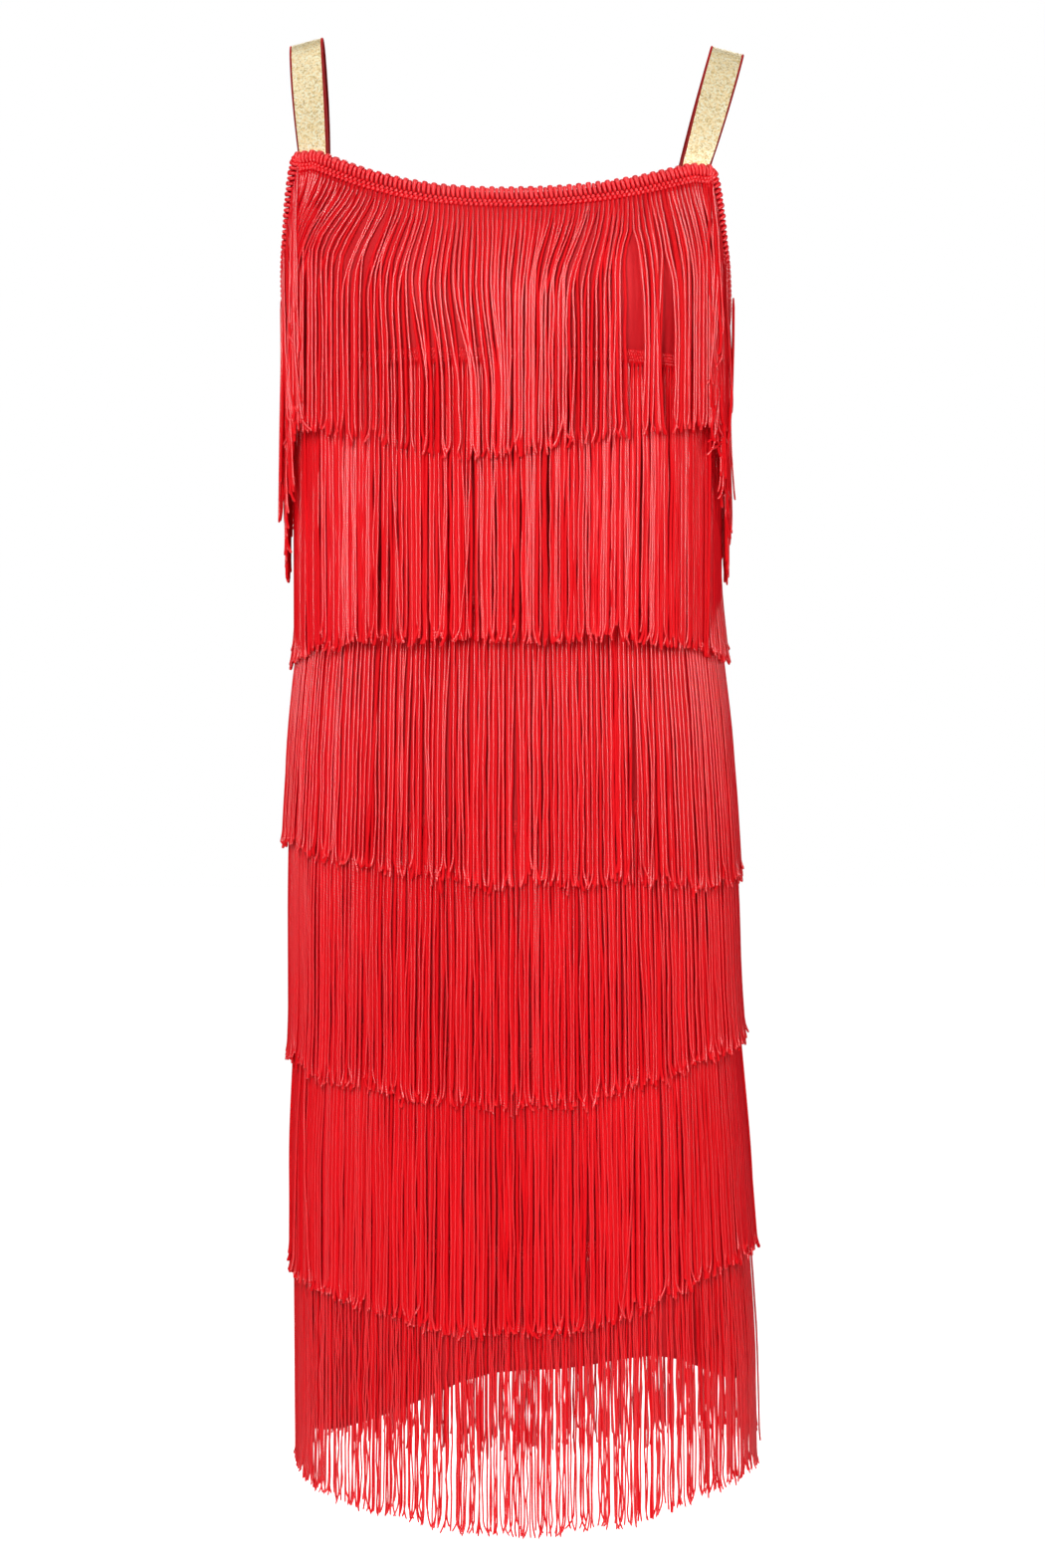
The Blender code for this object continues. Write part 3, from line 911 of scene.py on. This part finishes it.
def hang(roots, downs, sideways, out):
    """The strands' paths. Each falls straight down from its root, moved sideways, and is
    pushed out wherever the dress, or what lies on it, is wider below."""
    path = np.zeros(downs.shape + (3,))
    ways = np.zeros_like(path)
    at = roots.copy()
    for row in range(downs.shape[1]):
        at[:, 2] = roots[:, 2] - downs[:, row]
        facing = cloth_facing(angle_at(at), at[:, 2])
        if row:
            sidestep = sideways[:, row] - sideways[:, row - 1]
            at[:, 0] -= facing[:, 1] * sidestep
            at[:, 1] += facing[:, 0] * sidestep
        for _ in range(MOVES_TO_SETTLE):
            angle = angle_at(at)
            facing = cloth_facing(angle, at[:, 2])
            on = cloth_point(angle, at[:, 2], np.zeros_like(angle))
            away = ((at - on) * facing).sum(axis=1)
            at += facing * np.maximum(0.0, out[:, row] - away)[:, None]
        path[:, row] = at
        ways[:, row] = np.stack([-facing[:, 1], facing[:, 0], np.zeros(len(at))], axis=-1)
    return path, ways


def strand_rows(lengths, between):
    """How far down each strand its rings lie, closer together at its root and its tip."""
    near_root = np.array([0.0, 0.006, 0.014])
    near_tip = np.array([0.0085, 0.0055, 0.0030, 0.0012, 0.0004, 0.0])
    middle = np.linspace(0, 1, between)
    starts, ends = 0.024, near_tip[0] + 0.004
    body = starts + middle * (lengths[:, None] - ends - starts)
    roots = np.broadcast_to(near_root, (len(lengths), len(near_root)))
    return np.concatenate([roots, body, lengths[:, None] - near_tip], axis=1)


def shifted(x, table):
    """A table's amount at each place across the front, and nothing past its ends."""
    places, amounts = zip(*table)
    return np.interp(x, places, amounts, left=0.0, right=0.0)


def parted(x, downs):
    """How far the partings push the strands of the first tier aside."""
    total = np.zeros_like(downs)
    for parting in PARTINGS:
        off = x - parting.x
        near = np.clip(1 - np.abs(off) / parting.reach, 0, 1)
        middle = (parting.starts + parting.ends) / 2
        half = (parting.ends - parting.starts) / 2
        open_by = np.sqrt(np.clip(1 - ((downs - middle) / half) ** 2, 0, 1))
        total += np.where(off < 0, -1, 1) * near * parting.half_width * open_by
    return total


def make_strands(tier, side, heading, drop, next_top):
    """One tier's strands along the front or back."""
    seed = 10 * tier.number + (side == BACK)
    chance = np.random.default_rng(seed)
    length_along = heading.run[-1]
    count = int(length_along / tier.spacing)
    even = (np.arange(count) + 0.5) * length_along / count
    pitch = length_along / count
    stitch_at = (np.arange(count) // STITCH_STRANDS + 0.5) * STITCH_STRANDS * pitch
    at = (1 - STITCH_SHARED) * even + STITCH_SHARED * stitch_at
    at = np.clip(at, 0, length_along)
    roots, _ = across_heading(heading, at, [STRAND_ROOT_DOWN], [STRAND_ROOT_OUT])
    roots = roots[:, 0]
    top_z = np.interp(at, heading.run, heading.top_z)

    neighbours = chance.normal(0, 1, count + TIPS_WINDOW - 1)
    slow = np.convolve(neighbours, np.hanning(TIPS_WINDOW) / 3.9, mode="valid")[:count]
    tip_z = top_z - drop + TIPS_WAVE * slow + chance.normal(0, tier.uneven, count)
    tip_z = np.where(chance.random(count) < SHORT_SHARE, tip_z + SHORT_BY, tip_z)
    if tier.number == TIER_COUNT and side == BACK:
        tip_z = tip_z + chance.uniform(0, LAST_BACK_SHORTER, count)
    elif tier.number == TIER_COUNT:
        tip_z = tip_z - LAST_FRONT_LONGER
    is_flat = np.abs(np.interp(at, heading.run, heading.inward[:, 2])) > FLAT_HEADING
    tip_z = np.where(is_flat, tip_z, tip_z + chance.uniform(0.0, SIDE_UNEVEN, count))
    if tier.number == 1 and side == FRONT:
        tip_z = tip_z + shifted(roots[:, 0], LIFTED) * is_flat
    lengths = roots[:, 2] - tip_z
    downs = strand_rows(lengths, RINGS_BETWEEN[side])
    share = downs / lengths[:, None]

    # Sideways: out of the shared stitch, then wandering, slanting and clumping
    spread = (even - at)[:, None] * eased(downs / 0.018)
    spread[~is_flat] *= SIDE_SPREAD
    freer = np.where(is_flat, 1.0, SIDE_FREER)[:, None]

    def wave(size, shortest, longest):
        wavelength = chance.uniform(shortest, longest, (count, 1))
        phase = chance.uniform(0, FULL_TURN, (count, 1))
        amount = chance.normal(0, size, (count, 1))
        return amount * (np.sin(FULL_TURN * downs / wavelength + phase) - np.sin(phase))

    bundle = np.cumsum(chance.random(count) < BUNDLE_STARTS)
    bundles = bundle.max() + 1
    members = np.maximum(1, np.bincount(bundle, minlength=bundles))
    bundle_at = np.bincount(bundle, even, bundles) / members
    first_of = np.searchsorted(bundle, np.arange(bundles))
    drift = chance.normal(0, 1, bundles)
    clump = (bundle_at[bundle] - even)[:, None] * tier.clump * eased(share * 1.3)
    slant = drift[bundle] * BUNDLE_DRIFT + chance.normal(0, OWN_DRIFT, count)
    slant = slant[:, None] * eased(share)
    is_loose = is_flat & (chance.random(count) < LOOSE_SHARE)
    loose = np.where(is_loose, chance.normal(0, LOOSE_BY, count), 0)[:, None]
    loose = np.where(is_flat[:, None], loose, chance.normal(0, SIDE_LOOSE_BY, (count, 1)))
    hook = np.clip((downs - lengths[:, None] + HOOK_LENGTH) / HOOK_LENGTH, 0, 1) ** 2
    hooked = hook * chance.normal(0, HOOK_SIDEWAYS, (count, 1)) * freer
    if tier.number == TIER_COUNT and side == BACK:
        hooked = hooked * LAST_BACK_HOOKED
    together = wave(0.00030, 0.09, 0.20)[first_of[bundle]]
    wander = together + wave(0.00020, 0.07, 0.16) + wave(0.00016, 0.030, 0.060)
    if tier.number == TIER_COUNT:
        wander = wander + wave(0.00032, 0.022, 0.045)
    wander = wander * freer * eased(downs / 0.04)
    sideways = spread + clump + slant + loose * share**2 + hooked + wander
    if tier.number == 1 and side == FRONT:
        x = roots[:, :1]
        combing = shifted(x, COMBED) * is_flat[:, None]
        uneven_over = COMBED_OVER * chance.uniform(0.8, 1.25, (count, 1))
        sideways += combing * eased(downs / uneven_over) + parted(x + combing, downs)
        swing = shifted(x, SWUNG) * chance.uniform(0.5, 1.4, (count, 1))
        sideways += swing * eased((downs - SWUNG_FROM) / SWUNG_OVER)

    # Out: over the next trim's heading, and a little more to the tips
    over = np.clip(roots[:, 2] - at_angle(next_top, angle_at(roots)), 0.03, None)[:, None]
    layer = np.clip(np.arange(count) % 2 + chance.normal(0, 0.22, count), 0, 1)[:, None]
    rising = STRAND_RISES_FROM + (tier.over_next - STRAND_RISES_FROM) * eased(downs / over)
    past = np.clip((downs - over) / (lengths[:, None] - over), 0, 1)
    beyond = (tier.tip_out - tier.over_next) * past
    apart = LOWER_LAYERS_APART if tier.number in LOWER_TIERS else LAYERS_APART
    out = rising + beyond + layer * apart * eased(downs / 0.03)
    hooked_out = hook * np.abs(chance.normal(0, HOOK_OUT, (count, 1))) * freer
    out = out + np.abs(loose) * LOOSE_OUT_SHARE + hooked_out

    path, ways = hang(roots, downs, sideways, out)
    radius = tier.radius * chance.uniform(0.92, 1.06, (count, 1))
    if tier.number < TIER_COUNT:
        radius = radius * (INNER_THICKER - LAYER_THINNER * layer)
    profile = np.ones(downs.shape[1])
    profile[0] = 0.6
    profile[-3:] = 1.04, 0.86, 0.45
    tones = np.clip(chance.normal(0.45, 0.2, (count, 1)), 0, 1)
    # Painted shade: near their roots, just under the braid, the first tier's strands get
    # tones below 0
    if tier.number == 1:
        tones = tones - 0.9 * (1 - eased((downs - 0.005) / 0.05))
    # Painted highlight: tones raised towards 1.5 along the hooked tips, so the tips turn pale
    # salmon
    tones = tones + np.maximum(0, 1.5 - tones) * hook * chance.random((count, 1))
    rods = make_rods(path, ways, radius * profile, radius * profile, YARN_SIDES, tones)
    # The inner strands take the inner yarn, whose deeper red is painted shade
    inner = layer[:, 0] < INNER_BELOW.get(tier.number, INNER_BELOW_ELSEWHERE)
    wall_faces = (path.shape[1] - 1) * YARN_SIDES
    inner_faces = np.concatenate([np.repeat(inner, wall_faces), inner, inner])
    name = f"strands_{tier.number}_{side}"
    piece = rod_mesh(name, rods, FRINGE_RED, (SHADED_INNER_RED, inner_faces))
    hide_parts(f"fringe_{tier.number}_{side}")


# ---- Straps ----


Strap = namedtuple("Strap", "middle across facing run")


def strap_form(node):
    """The middle of the strap's outer face at even steps from its front foot over the
    shoulder to its back foot, with the ways it is wide and faces. It is read from the
    solid's cross lines, which are as long as the strap is wide."""
    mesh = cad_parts[node].data
    low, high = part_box(node)
    pivot = Vector(((low[0] + high[0]) / 2, 0, STRAP_PIVOT_Z))
    lines = {}
    for polygon in mesh.polygons:
        corners = [mesh.vertices[v].co for v in polygon.vertices]
        for a, b in zip(corners, corners[1:] + corners[:1]):
            if abs((a - b).length - STRAP_WIDTH) > STRAP_WIDTH * STRAP_WIDTH_ROOM:
                continue
            left, right = (a, b) if a.x < b.x else (b, a)
            middle = (left + right) / 2
            arm = middle - pivot
            angle = math.atan2(arm.z, arm.y)
            key = round(-angle / STRAP_LINE_APART)
            key = next((k for k in (key - 1, key, key + 1) if k in lines), key)
            reach = math.hypot(arm.y, arm.z)
            if key not in lines or reach > lines[key][0]:
                lines[key] = reach, -angle, middle, right - left
    rows = sorted(lines.values(), key=lambda row: row[1])
    middle = np.array([row[2] for row in rows])
    across = unit(np.array([row[3] for row in rows]))
    run = distances(middle)
    even = np.linspace(0, run[-1], int(run[-1] / STRAP_STEP) + 1)

    def smoothed(values):
        fine = np.stack([np.interp(even, run, values[:, n]) for n in range(3)], axis=-1)
        return blurred(fine, STRAP_BLUR, 0, False)

    middle, across = smoothed(middle), unit(smoothed(across))
    facing = unit(np.cross(across, np.gradient(middle, axis=0)))
    return Strap(middle, across, facing, even)


def make_strap(node):
    """One elastic: a glitter face between two corded selvedges, with a plain inner face."""
    form = strap_form(node)
    half = STRAP_WIDTH / 2 - SELVEDGE_WIDTH
    places = np.linspace(-half + FACE_EDGE, half - FACE_EDGE, STRAP_COLUMNS - 1)
    places = np.concatenate([[-half], places, [half]])
    points = form.middle[::-1, None] + form.across[::-1, None] * places[None, :, None]
    run = np.broadcast_to(form.run[:, None], points.shape[:2])
    uv = np.stack([np.broadcast_to(places, run.shape), run], axis=-1)
    face = make_grid(node + "_face", points, uv, FACE_THICKNESS, GLITTER)
    face.data.materials.append(ELASTIC_BACK)
    solidify = face.modifiers["Thickness"]
    solidify.material_offset = 1
    solidify.material_offset_rim = 1

    tone = np.array([0.5])
    edges = []
    for way in (-1, 1):
        offset = way * (STRAP_WIDTH - SELVEDGE_WIDTH) / 2
        centres = form.middle + form.across * offset - form.facing * SELVEDGE_SUNK
        shape = centres[None], form.across[None], SELVEDGE_HALF_WIDTH, SELVEDGE_HALF_HEIGHT
        edges.append(make_rods(*shape, SELVEDGE_SIDES, tone))
    edge = rod_mesh(node + "_selvedge", joined(edges), SELVEDGE_RED)
    for piece in (face, edge):
        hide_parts(node)
    return face, edge, form.run[-1]


for strap in ("strap_left", "strap_right"):
    strap_face, strap_edge, strap_length = make_strap(strap)

tops = {number: read_heading(number) for number in range(1, TIER_COUNT + 1)}
for tier in TIERS:
    heights, drop = tops[tier.number]
    below = heights - LAST_FREE_DROP
    if tier.number < TIER_COUNT:
        below = tops[tier.number + 1][0]
    for side in (FRONT, BACK):
        line = heading_line(side, heights)
        make_heading(tier.number, side, line)
        make_strands(tier, side, line, drop, below)
make_cloth(FRONT)
make_cloth(BACK)


# ---- Stage, lights and camera ----

FLOOR_Z = -1.40
FLOOR_HALF = 12.0
ROOM_LIGHT = 0.02
FLOOR_GLOW = 0.02
CAMERA_LENS = 81.0
CAMERA_PLACE = (0.0082, -2.30, -0.3804)
CAMERA_LOOKS_DOWN = 2.39

Lamp = namedtuple("Lamp", "name place aimed_at width height watts")
LAMPS = (
    Lamp("key", (-0.32, -1.60, 0.17), (0, 0, -0.20), 0.30, 0.7, 19),
    Lamp("fill", (0.95, -3.05, 0.50), (0, 0, -0.45), 1.2, 1.6, 16),
    Lamp("top", (-0.1, -0.25, 1.35), (0, 0, -0.05), 0.8, 0.8, 8),
    Lamp("low", (0.0, -0.62, -1.36), (0, 0, -0.90), 0.6, 0.2, 2.8),
    Lamp("side_left", (1.8, -0.60, 0.55), (0, 0, -0.55), 0.5, 0.8, 19),
    Lamp("side_right", (-1.8, -0.50, 0.55), (0, 0, -0.55), 0.5, 0.8, 11),
    Lamp("back_left", (0.45, 2.6, 0.40), (0, 0, -0.40), 0.8, 1.6, 32),
    Lamp("back_right", (-0.55, 2.6, 0.30), (0, 0, -0.40), 0.8, 1.6, 19.2),
)


def seen_or_felt(nodes, links, felt):
    """A strength of 1, plain white, where the camera sees it, and dimmer as light."""
    seen = nodes.new("ShaderNodeLightPath").outputs["Is Camera Ray"]
    strength = nodes.new("ShaderNodeMapRange")
    strength.inputs["To Min"].default_value = felt
    strength.inputs["To Max"].default_value = 1.0
    links.new(seen, strength.inputs["Value"])
    return strength.outputs["Result"]


def make_stage():
    look = Shading("pale_floor")
    look.set(Roughness=0.9, Specular_IOR_Level=0.1, Emission_Color=(1, 1, 1, 1))
    glow = seen_or_felt(look.nodes, look.links, FLOOR_GLOW)
    look.feed(look.shader.inputs["Emission Strength"], glow)
    grain = look.noise(3.0, 2.0, 0.5)
    look.color(look.mix(grain, (0.74, 0.74, 0.74, 1.0), (0.78, 0.78, 0.78, 1.0)))
    ways = ((-1, -1), (1, -1), (1, 1), (-1, 1))
    corners = [(x * FLOOR_HALF, y * FLOOR_HALF, FLOOR_Z) for x, y in ways]
    mesh = bpy.data.meshes.new("floor")
    mesh.from_pydata(corners, [], [(0, 1, 2, 3)])
    mesh.materials.append(look.material)
    floor = bpy.data.objects.new("floor", mesh)
    bpy.context.scene.collection.objects.link(floor)


def add_lamp(lamp):
    light = bpy.data.lights.new(lamp.name, "AREA")
    light.shape = "RECTANGLE"
    light.size = lamp.width
    light.size_y = lamp.height
    light.energy = lamp.watts
    way = Vector(lamp.aimed_at) - Vector(lamp.place)
    held = bpy.data.objects.new(lamp.name, light)
    held.location = lamp.place
    held.rotation_euler = way.to_track_quat("-Z", "Y").to_euler()
    bpy.context.scene.collection.objects.link(held)


def light_studio():
    """A dim white room round the dress, which the camera sees as plain white, and soft
    lamps: the key at the upper left of the front, the fill at its right, one over the
    dress, one low before it, one at each side and two behind."""
    world = bpy.data.worlds.new("white_studio")
    world.use_nodes = True
    nodes, links = world.node_tree.nodes, world.node_tree.links
    backdrop = nodes["Background"]
    backdrop.inputs["Color"].default_value = (1, 1, 1, 1)
    links.new(seen_or_felt(nodes, links, ROOM_LIGHT), backdrop.inputs["Strength"])
    bpy.context.scene.world = world
    for lamp in LAMPS:
        add_lamp(lamp)
    bpy.context.scene.view_settings.view_transform = "Standard"


def add_camera():
    camera = bpy.data.cameras.new("camera")
    camera.sensor_width = 36.0
    camera.lens = CAMERA_LENS
    camera.clip_end = 50.0
    held = bpy.data.objects.new("camera", camera)
    held.location = CAMERA_PLACE
    held.rotation_euler = (math.radians(90 - CAMERA_LOOKS_DOWN), 0, 0)
    bpy.context.scene.collection.objects.link(held)
    bpy.context.scene.camera = held


make_stage()
light_studio()
add_camera()
